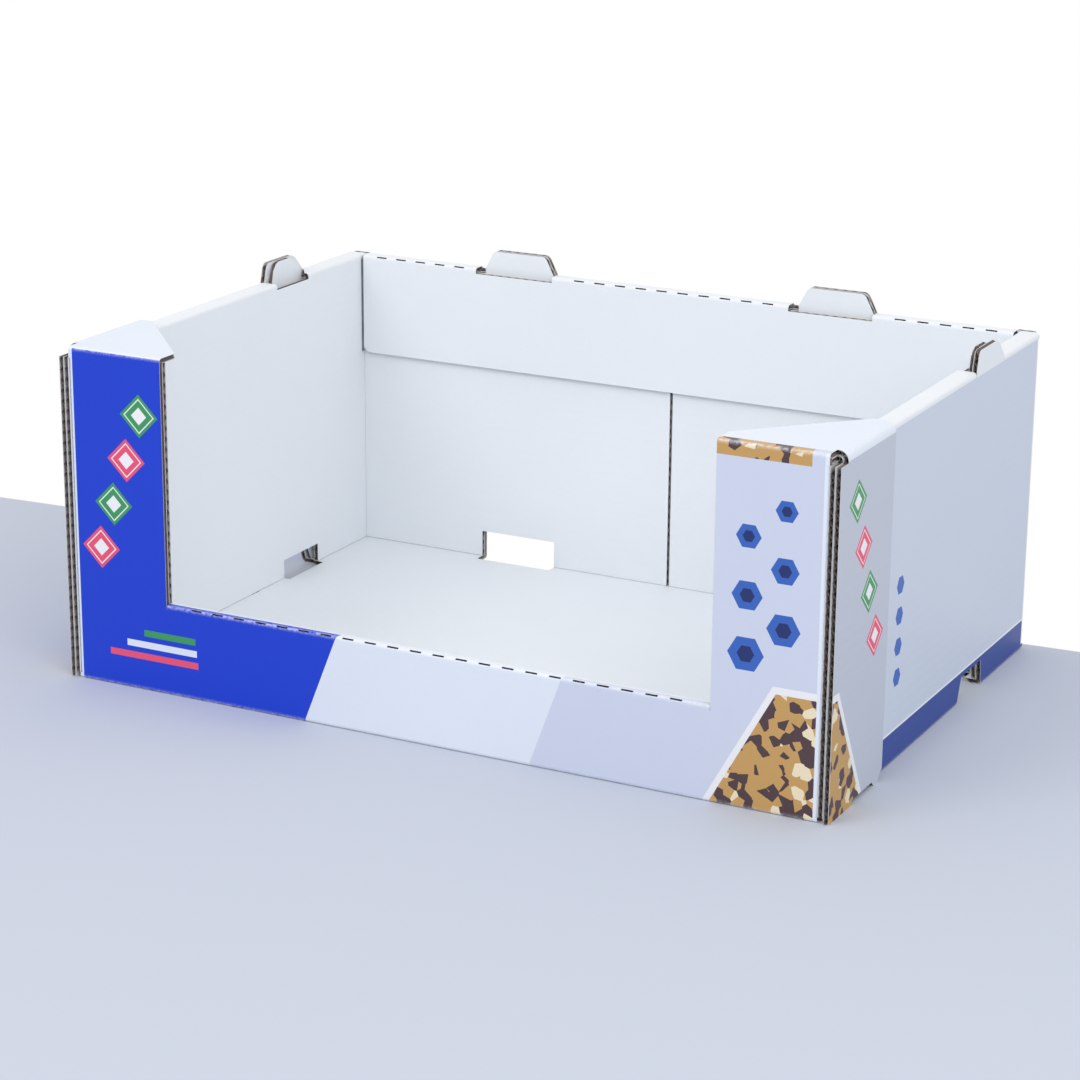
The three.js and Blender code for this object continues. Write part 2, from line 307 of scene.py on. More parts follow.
def add_board(board, path, place, loops, flutes, outer=always(PRINT), route=None, extra_folds=()):
    """Adds one strip of board. Flutes names the way that they run: "along" or "across" the path."""
    ways = route or (lambda along, across: (path, along))
    low = min(along for loop in loops for along, _ in loop) - OUTLINE_MARGIN
    high = max(along for loop in loops for along, _ in loop) + OUTLINE_MARGIN
    cross_low = min(across for loop in loops for _, across in loop) - OUTLINE_MARGIN
    cross_high = max(across for loop in loops for _, across in loop) + OUTLINE_MARGIN
    run_along = flutes == "along"
    first, last = (cross_low, cross_high) if run_along else (low, high)

    def cuts_across(places):
        return [((s, cross_low), (s, cross_high)) for s in places if low < s < high]

    def fold_cuts(steps):
        zone = path.zone
        folds = path.folds() + list(extra_folds)
        return cuts_across(fold - zone + 2 * zone * i / steps for fold in folds for i in range(steps + 1))

    def point_at(along, across, depth):
        used, run = ways(along, across)
        a, b = used.at(run, depth)
        return place(a, b, across), used.crease(run), across if run_along else along

    def wave(offset):
        def depth_at(along, across):
            value = (across if run_along else along) - first
            swing = BOARD / 2 - LINER - MEDIUM / 2
            return BOARD / 2 + swing * math.cos(2 * math.pi * value / FLUTE_PITCH) + offset
        return depth_at

    liner = triangulate(loops, fold_cuts(FOLD_STEPS))
    board.layer(*liner, point_at, (always(0.0), always(LINER)), outer, CORE, CORE)
    board.layer(*liner, point_at, (always(BOARD - LINER), always(BOARD)), always(CORE), WHITE, CORE)

    step = FLUTE_PITCH / FLUTE_STEPS
    crests = [first + i * step for i in range(1, int((last - first) / step))]
    if run_along:
        lines = [((low, t), (high, t)) for t in crests] + fold_cuts(MEDIUM_FOLD_STEPS)
    else:
        lines = cuts_across(crests)
    medium = triangulate(loops, lines)
    board.layer(*medium, point_at, (wave(-MEDIUM / 2), wave(MEDIUM / 2)), always(FLUTE), FLUTE, FLUTE)


# Tabs, slots and slits in the flat

def tab_edge(tab, end):
    """One end of a tab's outline, from the rim up, as (rise, place along the wall). 0 is the low end."""
    foot, top, corner = tab[0][end], tab[1][end], tab[2]
    inward = 1 - 2 * end
    slant = (foot - top) * corner / TAB_RISE
    soft = corner * (1 - math.sqrt(0.5))
    return [
        (0.0, foot),
        (TAB_RISE - corner, top + slant),
        (TAB_RISE - soft, top + inward * soft),
        (TAB_RISE, top + inward * corner),
    ]


def slit_spans(start, end, slots=()):
    """Slits at regular places between two ends, clear of the slots named."""
    room = end - start - 2 * SLIT_END_MARGIN - SLIT_LENGTH
    count = int(room // SLIT_PITCH) + 1
    first = (start + end - (count - 1) * SLIT_PITCH - SLIT_LENGTH) / 2
    spans = [(first + i * SLIT_PITCH, first + i * SLIT_PITCH + SLIT_LENGTH) for i in range(count)]
    clear = 2 * SLIT_HALF_WIDTH
    return [span for span in spans if all(span[1] < a - clear or span[0] > b + clear for a, b in slots)]


def box_hole(low, high, cross_low, cross_high):
    return [(low, cross_low), (high, cross_low), (high, cross_high), (low, cross_high)]


def slit_hole(fold, span):
    return box_hole(fold - SLIT_HALF_WIDTH, fold + SLIT_HALF_WIDTH, *span)


def tab_hole(tab, fold, place, rest):
    """The slot round a standing tab, which is cut out of the rim band. Rest is its outline past the tab."""
    (foot_low, foot_high), _, _ = tab
    points = [(fold - ZONE, foot_low - TAB_CLEARANCE), (fold - ZONE, foot_low)]
    points += [(fold + rise, along) for rise, along in tab_edge(tab, 0)]
    points += [(fold + rise, along) for rise, along in reversed(tab_edge(tab, 1))]
    points += [(fold - ZONE, foot_high), (fold - ZONE, foot_high + TAB_CLEARANCE)]
    return [(along, place + across) for along, across in points + rest]


def in_tab(tab, along, across, fold, place):
    """Whether a place in the flat belongs to a tab, which stays in the plane of its wall."""
    rise = along - fold
    if rise < -ZONE - SAME_LINE or rise > TAB_RISE + NEAR_TAB:
        return False
    ends = []
    for end in (0, 1):
        edge = tab_edge(tab, end)
        ends.append(np.interp(rise, [point[0] for point in edge], [point[1] for point in edge]))
    return ends[0] - NEAR_TAB <= across - place <= ends[1] + NEAR_TAB


# Long strip: lip hem, lip, front panel with its posts and caps, base, back wall, rim band and back hem

LONG = Path([
    (LIP_HEM_Y, FLOOR_TOP), (LIP_HEM_Y, LIP_HEIGHT), (FRONT, LIP_HEIGHT), (FRONT, 0.0),
    (BACK, 0.0), (BACK, RIM), (HEM_Y, RIM), (HEM_Y, RIM - HEM_DROP),
], 1)
_, _, LIP_FOLD, FRONT_FOLD, BACK_FOLD, RIM_FOLD, HEM_FOLD, HEM_END = LONG.stops
CAP_FOLD = LIP_FOLD - (CAP_HEIGHT - LIP_HEIGHT)
CAP_END = CAP_FOLD - CAP_DEPTH
POST = Path([(FRONT + CAP_DEPTH, CAP_HEIGHT), (FRONT, CAP_HEIGHT), (FRONT, 0.0)], 1)
BACK_PLANE = Path([(BACK, 0.0), (BACK, CAP_HEIGHT * 2)], 1)


def long_route(along, across):
    """The profile that a place of the strip follows: the lip's, a post's, or the back wall's plane."""
    wide = abs(across)
    if wide > LIP_HALF + GAP / 2 and along < LIP_FOLD + ZONE + SAME_LINE:
        return POST, along - CAP_END
    if along > RIM_FOLD - ZONE:
        if wide > RIM_HALF + GAP / 2 or in_tab(BACK_TAB, along, wide, RIM_FOLD, BACK_TAB_X):
            return BACK_PLANE, along - BACK_FOLD
    return LONG, along


def long_outline(side):
    """The long strip's outline on one side, from its lip hem to its back hem."""
    def base(y):
        return FRONT_FOLD + (y - FRONT)

    def up(z):
        return LIP_FOLD - (z - LIP_HEIGHT)

    notch = [SIDE_TAB_Y + along for along in NOTCH_FOOT[side]]
    window = SIDE_WINDOW_Y
    cut_x = INNER_X - SIDE_FLOOR_CUT
    half = [
        (0.0, LIP_HALF),
        (LIP_FOLD + ZONE, LIP_HALF),
        (LIP_FOLD + ZONE, POST_X),
        (CAP_FOLD - CAP_STEP, POST_X),
        (CAP_END, INNER_BACK_X),
        (CAP_END, PANEL_X),
        (up(UNDER_RIM), PANEL_X),
        (up(UNDER_RIM), PANEL_X - ZONE),
        (up(FLOOR_TOP), PANEL_X - ZONE),
        (up(FLOOR_TOP), PANEL_X),
        (base(FRONT + FRONT_FOLD_START), PANEL_X),
        (base(FRONT + FRONT_FOLD_START), BASE_X),
        (base(notch[0]), BASE_X),
        (base(notch[0]), INNER_BACK_X),
        (base(window[0]), INNER_BACK_X),
        (base(window[0]), cut_x),
        (base(window[1]), cut_x),
        (base(window[1]), INNER_BACK_X),
        (base(notch[1]), INNER_BACK_X),
        (base(notch[1]), BASE_X),
        (base(MINOR_Y), BASE_X),
        (base(MINOR_Y), PANEL_X),
        (RIM_FOLD, PANEL_X),
        (RIM_FOLD, RIM_HALF + GAP),
        (RIM_FOLD - ZONE, RIM_HALF + GAP),
        (RIM_FOLD - ZONE, RIM_HALF),
        (HEM_END - HEM_CHAMFER, RIM_HALF),
        (HEM_END, RIM_HALF - HEM_CHAMFER),
    ]
    return [(along, side * across) for along, across in half]


def long_holes():
    holes = [slit_hole(LIP_FOLD, span) for span in slit_spans(-POST_X, POST_X)]
    slots = []
    for side in (-1, 1):
        middle = side * BACK_TAB_X
        low, high = BACK_TAB[0][0] - TAB_CLEARANCE, BACK_TAB[0][1] + TAB_CLEARANCE
        slots.append((middle + low - BACK_SLOT_SLACK, middle + high))
        holes.append(tab_hole(BACK_TAB, RIM_FOLD, middle, [
            (HEM_FOLD + SLOT_DROP, high),
            (HEM_FOLD + SLOT_DROP, low - BACK_SLOT_SLACK),
            (RIM_FOLD - SLOT_MOUTH, low - BACK_SLOT_SLACK),
            (RIM_FOLD - SLOT_MOUTH, low),
        ]))
        holes.append(box_hole(
            BACK_FOLD - (BACK - MINOR_INNER_Y) - BACK_FLOOR_CUT, BACK_FOLD + BACK_WINDOW_TOP,
            middle - BACK_WINDOW_HALF, middle + BACK_WINDOW_HALF,
        ))
        lock = FRONT_FOLD + LOCK_SLOT_FROM_FRONT
        ends = sorted((side * (INNER_X - GAP), side * INNER_BACK_X))
        holes.append(box_hole(lock, lock + LOCK_SLOT_LENGTH, *ends))
    holes += [slit_hole(HEM_FOLD, span) for span in slit_spans(-RIM_HALF, RIM_HALF, slots)]
    return holes


def long_face(along, across):
    """The front and its lip carry the front print, and the back wall carries the band."""
    wide = abs(across)
    if wide < LIP_HALF and along < LIP_FOLD - ZONE:
        return WHITE
    if along < FRONT_FOLD + ZONE:
        return PRINT
    if BACK_FOLD - ZONE < along < RIM_FOLD - ZONE:
        return BACK_PRINT
    return WHITE


def long_panels(materials):
    board = Board("front_base_and_back", materials)
    loops = [long_outline(1) + long_outline(-1)[::-1], *long_holes()]
    add_board(board, LONG, lambda y, z, x: (x, y, z), loops, "along", long_face, long_route, [CAP_FOLD])
    board.make()


# Sides: the flap outside, the wall with its rim band and inner panel, and the hidden flaps

def outer_flap(side, name, materials):
    path = Path([(PANEL_X, CAP_HEIGHT), (OUTER_X, CAP_HEIGHT), (OUTER_X, 0.0)], -1,
                CURL_RADIUS, CURL_RADIUS - BOARD)
    foot = path.stops[-1]
    rear = FRONT + CAP_DEPTH
    relief = path.stops[1] + CAP_HEIGHT - RELIEF_Z
    outline = [
        (0.0, FRONT + CORNER_RELIEF),
        (relief, FRONT + CORNER_RELIEF),
        (relief, FRONT),
        (foot, FRONT),
        (foot, FRONT + FLAP_STEP_START),
        (foot - FLAP_STEP_RISE, FRONT + FLAP_STEP_START),
        (foot - FLAP_STEP_RISE, FRONT + FLAP_STEP_END),
        (foot, FRONT + FLAP_STEP_END + FLAP_STEP_RISE),
        (foot, rear - FLAP_TOE_CHAMFER),
        (foot - FLAP_TOE_CHAMFER, rear),
        (0.0, rear),
    ]
    board = Board(f"outer_flap_{name}", materials)
    add_board(board, path, lambda x, z, y: (side * x, y, z), [outline], "across")
    board.make()


def side_wall(side, name, materials):
    path = Path([
        (BASE_X, 0.0), (WALL_X, 0.0), (WALL_X, RIM), (INNER_X, RIM), (INNER_X, FLOOR_TOP),
    ], 1)
    _, foot, rim, inner, end = path.stops
    plane = Path([(WALL_X, 0.0), (WALL_X, CAP_HEIGHT * 2)], 1)

    def face(along, across):
        return PRINT if along < rim - ZONE else WHITE

    def route(along, across):
        if along > rim - ZONE and in_tab(SIDE_TAB, along, across, rim, SIDE_TAB_Y):
            return plane, along - foot
        return path, along

    window = end - (SIDE_WINDOW_TOP - FLOOR_TOP)
    outline = [
        (0.0, FRONT + FRONT_FOLD_START),
        (foot + ZONE, FRONT + FRONT_FOLD_START),
        (foot + ZONE, FRONT),
        (foot + RELIEF_Z, FRONT),
        (foot + RELIEF_Z, FRONT + CORNER_RELIEF),
        (rim + ZONE, FRONT + CORNER_RELIEF),
        (rim + ZONE, POST_BACK_Y),
        (inner + ZONE, POST_BACK_Y),
        (inner + ZONE, POST_BACK_Y + ZONE),
        (end, POST_BACK_Y + ZONE),
        (end, SIDE_WINDOW_Y[0]),
        (window, SIDE_WINDOW_Y[0]),
        (window, SIDE_WINDOW_Y[1]),
        (end, SIDE_WINDOW_Y[1]),
        (end, MINOR_INNER_Y - GAP),
        (inner + HEM_DROP, MINOR_INNER_Y - GAP),
        (inner + HEM_DROP, HEM_Y - GAP),
        (inner + ZONE, HEM_Y - GAP),
        (inner + ZONE, MINOR_Y),
        (foot + UNDER_RIM, MINOR_Y),
        (foot + UNDER_RIM, MINOR_Y - ZONE),
        (foot + FLOOR_TOP, MINOR_Y - ZONE),
        (foot + FLOOR_TOP, MINOR_Y),
        (0.0, MINOR_Y),
        (0.0, SIDE_TAB_Y + NOTCH_FOOT[side][1]),
        (foot, SIDE_TAB_Y + NOTCH_FOOT[side][1]),
        (foot + NOTCH_TOP, SIDE_TAB_Y + NOTCH_HEAD[side][1]),
        (foot + NOTCH_TOP, SIDE_TAB_Y + NOTCH_HEAD[side][0]),
        (foot, SIDE_TAB_Y + NOTCH_FOOT[side][0]),
        (0.0, SIDE_TAB_Y + NOTCH_FOOT[side][0]),
    ]
    slot_rear = SIDE_TAB[1][1] + SIDE_SLOT_SLACK
    hole = tab_hole(SIDE_TAB, rim, SIDE_TAB_Y, [
        (rim + ZONE, SIDE_TAB[0][1] + TAB_CLEARANCE),
        (inner - BOARD, slot_rear),
        (inner + SLOT_DROP, slot_rear),
        (inner + SLOT_DROP, SIDE_TAB[0][0] - TAB_CLEARANCE),
    ])
    board = Board(f"side_wall_{name}", materials)
    add_board(board, path, lambda x, z, y: (side * x, y, z), [outline, hole], "across", face, route)
    board.make()


def standing_tab(tab, foot, place, up):
    """The tab's outline over a flap whose top edge lies under the rim, listed towards lower places."""
    points = [(place + tab[0][1], up)]
    points += [(place + along, foot + rise) for rise, along in tab_edge(tab, 1)]
    points += [(place + along, foot + rise) for rise, along in reversed(tab_edge(tab, 0))]
    points += [(place + tab[0][0], up)]
    return points


def rear_flap(side, name, materials):
    path = Path([(WALL_X, MINOR_Y - ZONE), (WALL_X, MINOR_Y), (SEAM_WIDTH / 2, MINOR_Y)], 1)
    end = path.stops[-1]
    tab = path.stops[1] + WALL_X - BACK_TAB_X
    outline = [
        (0.0, FLOOR_TOP),
        (tab - BACK_WINDOW_HALF, FLOOR_TOP),
        (tab - BACK_WINDOW_HALF, BACK_WINDOW_TOP),
        (tab + BACK_WINDOW_HALF, BACK_WINDOW_TOP),
        (tab + BACK_WINDOW_HALF, FLOOR_TOP),
        (end, FLOOR_TOP),
        (end, UNDER_RIM),
        *standing_tab(BACK_TAB, RIM, tab, UNDER_RIM),
        (0.0, UNDER_RIM),
    ]
    board = Board(f"rear_flap_{name}", materials)
    add_board(board, path, lambda x, y, z: (side * x, y, z), [outline], "along", always(WHITE))
    board.make()


def post_lining(side, name, materials):
    path = Path([
        (INNER_BACK_X, POST_BACK_Y + ZONE), (INNER_BACK_X, POST_BACK_Y), (POST_X + GAP, POST_BACK_Y),
    ], -1)
    end = path.stops[-1]
    outline = [(0.0, FLOOR_TOP), (end, FLOOR_TOP), (end, RIM), (0.0, RIM)]
    board = Board(f"post_lining_{name}", materials)
    add_board(board, path, lambda x, y, z: (side * x, y, z), [outline], "along", always(WHITE))
    board.make()


def hidden_flap(side, name, materials):
    path = Path([(PANEL_X - ZONE, FRONT), (PANEL_X, FRONT), (PANEL_X, HIDDEN_FLAP_END)], 1)
    end = path.stops[-1]
    tab = path.stops[1] + SIDE_TAB_Y - FRONT
    outline = [
        (0.0, FLOOR_TOP),
        (tab + NOTCH_FOOT[side][0], FLOOR_TOP),
        (tab + NOTCH_HEAD[side][0], NOTCH_TOP),
        (tab + NOTCH_HEAD[side][1], NOTCH_TOP),
        (tab + NOTCH_FOOT[side][1], FLOOR_TOP),
        (end, FLOOR_TOP),
        (end, UNDER_RIM),
        *standing_tab(SIDE_INNER_TAB, RIM, tab, UNDER_RIM),
        (0.0, UNDER_RIM),
    ]
    board = Board(f"front_side_flap_{name}", materials)
    add_board(board, path, lambda x, y, z: (side * x, y, z), [outline], "across")
    board.make()


# Shader arithmetic

class Field:
    """A number worked out by shader nodes."""

    def __init__(self, tree, socket):
        self.tree = tree
        self.socket = socket

    def apply(self, operation, *others, clamp=False):
        node = self.tree.nodes.new("ShaderNodeMath")
        node.operation = operation
        node.use_clamp = clamp
        self.tree.links.new(self.socket, node.inputs[0])
        for value, entry in zip(others, node.inputs[1:]):
            if isinstance(value, Field):
                self.tree.links.new(value.socket, entry)
            else:
                entry.default_value = value
        return Field(self.tree, node.outputs[0])

    def __add__(self, other):
        return self.apply("ADD", other)

    def __sub__(self, other):
        return self.apply("SUBTRACT", other)

    def __mul__(self, other):
        return self.apply("MULTIPLY", other)

    def __abs__(self):
        return self.apply("ABSOLUTE")

    def larger(self, other):
        return self.apply("MAXIMUM", other)

    def clamped(self):
        return self.apply("ADD", 0.0, clamp=True)

    def filled(self, soft=0.25):
        """1 where a distance in millimetres is below zero, with an edge that many millimetres soft."""
        return (self * (-1.0 / soft)).apply("ADD", 0.5, clamp=True)


def linear(red, green, blue):
    """A colour from 0 to 255, as a screen shows it, in the shader's linear light."""
    def channel(value):
        value /= 255
        return value / 12.92 if value <= 0.04045 else ((value + 0.055) / 1.055) ** 2.4
    return (channel(red), channel(green), channel(blue), 1.0)


# Shapes, as a distance from their outline: below zero inside

def diamond(u, v, at, radius):
    return (abs(u - at[0]) + abs(v - at[1]) - radius) * math.sqrt(0.5)


def hexagon(u, v, at, radius):
    dx, dy = abs(u - at[0]), abs(v - at[1])
    return (dx * math.sin(math.pi / 3) + dy * 0.5).larger(dy) - radius * math.sin(math.pi / 3)


def bar(u, v, at, half_width, half_height):
    return (abs(u - at[0]) - half_width).larger(abs(v - at[1]) - half_height)


def ring(distance, width):
    return abs(distance) - width / 2


# Paper: its gloss, the scale and detail of its two noises, how they tint it, and heights in millimetres
PAPER_IOR = 1.45
FRONT_ROUGHNESS = 0.42
SIDE_ROUGHNESS = 0.45
INNER_ROUGHNESS = 0.5
EDGE_ROUGHNESS = 0.8
MEDIUM_ROUGHNESS = 0.85
CLOUDS = (9.0, 3.0)
FIBRES = (420.0, 2.0)
MOTTLE = 0.05
# How strongly the creases are paled: partly cracked ink, partly a painted highlight on the folds
CREASE_WEAR_AND_HIGHLIGHT = 0.6
CRACK_CONTRAST = 3.0
CRACK_LEVEL = 0.7
# The paler colour along the creases: cracked ink, and a painted highlight on the folds
CRACKED_INK_AND_HIGHLIGHT = linear(236, 239, 245)
WASHBOARD = 0.02
FIBRE_HEIGHT = 0.012
CLOUD_HEIGHT = 0.3


class Paper:
    """A printed or plain liner: a colour built up in layers of ink over paper."""

    def __init__(self, name, paper, roughness):
        self.material = bpy.data.materials.new(name)
        self.material.use_nodes = True
        self.tree = self.material.node_tree
        self.shader = self.tree.nodes["Principled BSDF"]
        self.shader.inputs["Roughness"].default_value = roughness
        self.shader.inputs["IOR"].default_value = PAPER_IOR
        place = self.tree.nodes.new("ShaderNodeTexCoord")
        axes = self.tree.nodes.new("ShaderNodeSeparateXYZ")
        self.tree.links.new(place.outputs["Object"], axes.inputs[0])
        self.position = place.outputs["Object"]
        self.x, self.y, self.z = (Field(self.tree, axes.outputs[i]) * (1 / MM) for i in range(3))
        colour = self.tree.nodes.new("ShaderNodeRGB")
        colour.outputs[0].default_value = paper
        self.colour = colour.outputs[0]

    def ink(self, mask, colour):
        """Lays a colour, or another colour socket, over what is there, as far as the mask says."""
        node = self.tree.nodes.new("ShaderNodeMix")
        node.data_type = "RGBA"
        self.tree.links.new(mask.socket, node.inputs[0])
        self.tree.links.new(self.colour, node.inputs[6])
        if isinstance(colour, tuple):
            node.inputs[7].default_value = colour
        else:
            self.tree.links.new(colour, node.inputs[7])
        self.colour = node.outputs[2]

    def attribute(self, name):
        node = self.tree.nodes.new("ShaderNodeAttribute")
        node.attribute_name = name
        return Field(self.tree, node.outputs["Fac"])

    def noise(self, scale, detail):
        node = self.tree.nodes.new("ShaderNodeTexNoise")
        node.inputs["Scale"].default_value = scale
        node.inputs["Detail"].default_value = detail
        self.tree.links.new(self.position, node.inputs["Vector"])
        return Field(self.tree, node.outputs["Fac"])

    def finish(self):
        """Mottling of the paper, paler cracked ink and a painted highlight along the creases, and the bump
        of flutes and fibres.
        """
        cloudy = self.noise(*CLOUDS) - 0.5
        fine = self.noise(*FIBRES) - 0.5
        crease = self.attribute("crease")
        # Paler colour along the creases, broken up by noise: partly cracked ink, partly a painted highlight
        # on the folds
        cracked_and_highlight = (crease * crease * CREASE_WEAR_AND_HIGHLIGHT) * (fine * CRACK_CONTRAST + CRACK_LEVEL).clamped()
        self.ink(cracked_and_highlight, CRACKED_INK_AND_HIGHLIGHT)
        shade = cloudy * MOTTLE + fine * (MOTTLE / 2) + 1.0
        scaled = self.tree.nodes.new("ShaderNodeVectorMath")
        scaled.operation = "SCALE"
        self.tree.links.new(self.colour, scaled.inputs[0])
        self.tree.links.new(shade.socket, scaled.inputs["Scale"])
        self.tree.links.new(scaled.outputs[0], self.shader.inputs["Base Color"])
        flute = (self.attribute("flute") * (2 * math.pi / FLUTE_PITCH)).apply("SINE")
        height = flute * WASHBOARD + fine * FIBRE_HEIGHT + cloudy * CLOUD_HEIGHT
        bump = self.tree.nodes.new("ShaderNodeBump")
        bump.inputs["Strength"].default_value = 1.0
        bump.inputs["Distance"].default_value = MM
        self.tree.links.new(height.socket, bump.inputs["Height"])
        self.tree.links.new(bump.outputs[0], self.shader.inputs["Normal"])
        return self.material


# Colours

WHITE_LINER = linear(224, 231, 243)
INNER_LINER = linear(233, 237, 242)
LINER_EDGE = linear(206, 203, 202)
BARE_MEDIUM = linear(116, 106, 102)
WALL_GROUND = linear(203, 212, 227)
FLAP_GROUND = linear(190, 197, 211)
BLUE = linear(4, 58, 204)
# The band's blue is the front's blue ink, painted darker and duller as shade
SHADED_BAND_BLUE = linear(38, 68, 150)
BAND_LINE = linear(240, 243, 248)
PALE_ZONE = linear(204, 211, 230)
PINK = linear(232, 82, 116)
GREEN = linear(58, 150, 92)
BADGE_LINE = linear(240, 240, 246)
SPOT_BLUE = linear(52, 98, 186)
SPOT_DARK = linear(26, 44, 104)
TAN = linear(196, 154, 92)
BROWN = linear(78, 58, 62)
CREAM = linear(236, 222, 190)
CHIP_BORDER = linear(236, 236, 240)

# Where the print stops: short of the front panel's side folds, and below the caps' outer folds
BARE_EDGE = 3.0
CAP_PRINT_DROP = 7.0

# The front's blue and pale fields: where their slanted ends meet the foot, and how far they lean
BLUE_FIELD_FOOT = -99.2
BLUE_FIELD_LEAN = 27.0 / 68.0
BLUE_FIELD_TOP = CAP_HEIGHT - 0.5
PALE_FIELD_FOOT = 79.6
PALE_FIELD_LEAN = 0.364
PALE_FIELD_TOP = CAP_HEIGHT + 7.0

# Diamonds in a slanted chain: how many, how far each stands above the one before, and for each chain
# its first place, its lean and its size
CHAIN_COUNT = 4
CHAIN_RISE = 34.0
FRONT_CHAIN = ((-269.0, 104.0), 12.0, 16.0)
FLAP_CHAIN = ((-130.0, 110.0), -13.0, 15.0)

# Lines and middles within a motif, as shares of its size inwards from its outline
DIAMOND_LINE = 0.16
DIAMOND_LINE_WIDTH = 0.05
DIAMOND_MIDDLE = 0.42
SPOT_MIDDLE = 0.45

# Spots: a zigzag on the post, each a little smaller, and a column on the side walls
POST_SPOTS = 6
POST_SPOT_SIZE = 13.0
POST_SPOT_X = 238.0
POST_SPOT_SHIFT = 26.0
POST_SPOT_FOOT = 108.0
POST_SPOT_RISE = 20.0
WALL_SPOTS = 4
WALL_SPOT_SIZE = 7.0
WALL_SPOT_Y = -74.0
WALL_SPOT_FOOT = 62.0
WALL_SPOT_RISE = 22.0

# Chips: their scale and colours, the fields that they fill at the foot of the right post and of the outer
# flaps, and the strip at the top of the post, as its middle, half width and half height
CHIP_SCALE = 150.0
CHIP_STEPS = ((0.0, BROWN), (0.26, TAN), (0.58, CREAM), (0.68, TAN), (0.86, BROWN))
CHIP_FIELD_TOP = 84.0
CHIP_FIELD_LEAN = 0.55
CHIP_FIELD_FOOT_X = 214.0
CHIP_FIELD_FOOT_Y = FRONT + 54.0
CHIP_BORDER_WIDTH = 5.0
CHIP_STRIP = ((246.0, CAP_HEIGHT - 2.0), 34.0, 8.0)

# The three bars on the lip: the first one's middle, half length and half height, and the step to the next
BAR_AT = (-226.0, 26.0)
BAR_HALF = (38.0, 2.5)
BAR_STEP = (7.0, 9.0)
BAR_SHORTER = 8.0

# The band along the foot of the walls
BAND_TOP = 23.5
BAND_LINE_WIDTH = 1.5


def terrazzo(paper):
    """Tan, brown and cream chips."""
    cells = paper.tree.nodes.new("ShaderNodeTexVoronoi")
    cells.inputs["Scale"].default_value = CHIP_SCALE
    paper.tree.links.new(paper.position, cells.inputs["Vector"])
    ramp = paper.tree.nodes.new("ShaderNodeValToRGB")
    ramp.color_ramp.interpolation = "CONSTANT"
    ramp.color_ramp.elements[0].color = CHIP_STEPS[0][1]
    ramp.color_ramp.elements[1].position = CHIP_STEPS[1][0]
    ramp.color_ramp.elements[1].color = CHIP_STEPS[1][1]
    for position, colour in CHIP_STEPS[2:]:
        ramp.color_ramp.elements.new(position).color = colour
    axes = paper.tree.nodes.new("ShaderNodeSeparateColor")
    paper.tree.links.new(cells.outputs["Color"], axes.inputs[0])
    paper.tree.links.new(axes.outputs[0], ramp.inputs[0])
    return ramp.outputs[0]


def badge(paper, u, v, at, size, ink):
    """A diamond with a pale inner line and a pale middle."""
    shape = diamond(u, v, at, size)
    paper.ink(shape.filled(), ink)
    paper.ink(ring(shape + size * DIAMOND_LINE, size * DIAMOND_LINE_WIDTH).filled(), BADGE_LINE)
    paper.ink((shape + size * DIAMOND_MIDDLE).filled(), BADGE_LINE)


def chain(paper, u, v, foot, lean, size):
    """Diamonds in a slanted line, pink and green in turn."""
    for i in range(CHAIN_COUNT):
        badge(paper, u, v, (foot[0] + lean * i, foot[1] + CHAIN_RISE * i), size, (PINK, GREEN)[i % 2])


def spot(paper, u, v, at, size):
    """A blue spot with a darker middle."""
    shape = hexagon(u, v, at, size)
    paper.ink(shape.filled(), SPOT_BLUE)
    paper.ink((shape + size * SPOT_MIDDLE).filled(), SPOT_DARK)


def chip_field(paper, slanted, v):
    """A field of chips below a level line and on one side of a slanted one, with a pale border."""
    field = slanted.larger(v - CHIP_FIELD_TOP)
    paper.ink((field - CHIP_BORDER_WIDTH).filled(), CHIP_BORDER)
    paper.ink(field.filled(), terrazzo(paper))


def front_print():
    """The front's print, in x and in the height up the panel, which runs on over the caps."""
    paper = Paper("front_print", WHITE_LINER, FRONT_ROUGHNESS)
    u = paper.x
    v = paper.z + (paper.y - FRONT)
    pale = (v * PALE_FIELD_LEAN + PALE_FIELD_FOOT) - u
    paper.ink(pale.larger(v - PALE_FIELD_TOP).filled(), PALE_ZONE)
    blue = u - (v * BLUE_FIELD_LEAN + BLUE_FIELD_FOOT)
    paper.ink(blue.larger(v - BLUE_FIELD_TOP).filled(), BLUE)
    chain(paper, u, v, *FRONT_CHAIN)
    for i, ink in enumerate((PINK, WHITE_LINER, GREEN)):
        middle = (BAR_AT[0] + BAR_STEP[0] * i, BAR_AT[1] + BAR_STEP[1] * i)
        paper.ink(bar(u, v, middle, BAR_HALF[0] - BAR_SHORTER * i, BAR_HALF[1]).filled(), ink)
    for i in range(POST_SPOTS):
        at = (POST_SPOT_X + POST_SPOT_SHIFT * (i % 2), POST_SPOT_FOOT + POST_SPOT_RISE * i)
        spot(paper, u, v, at, POST_SPOT_SIZE - i)
    chip_field(paper, (v * CHIP_FIELD_LEAN + CHIP_FIELD_FOOT_X) - u, v)
    paper.ink(bar(u, v, *CHIP_STRIP).filled(), terrazzo(paper))
    bare = (abs(u) * -1.0 + (PANEL_X - BARE_EDGE)).larger(v - CAP_HEIGHT)
    paper.ink(bare.filled(), WHITE_LINER)
    return paper.finish()


def wall_print():
    """A column of spots, and a blue band along the foot, its blue painted darker as shade."""
    paper = Paper("wall_print", WALL_GROUND, SIDE_ROUGHNESS)
    u, v = paper.y, paper.z
    paper.ink((v - BAND_TOP - BAND_LINE_WIDTH).filled(), BAND_LINE)
    # The band in the front's blue ink, painted darker and duller as shade
    paper.ink((v - BAND_TOP).filled(), SHADED_BAND_BLUE)
    for i in range(WALL_SPOTS):
        at = (WALL_SPOT_Y, WALL_SPOT_FOOT + WALL_SPOT_RISE * i)
        paper.ink(hexagon(u, v, at, WALL_SPOT_SIZE).filled(), SPOT_BLUE)
    return paper.finish()


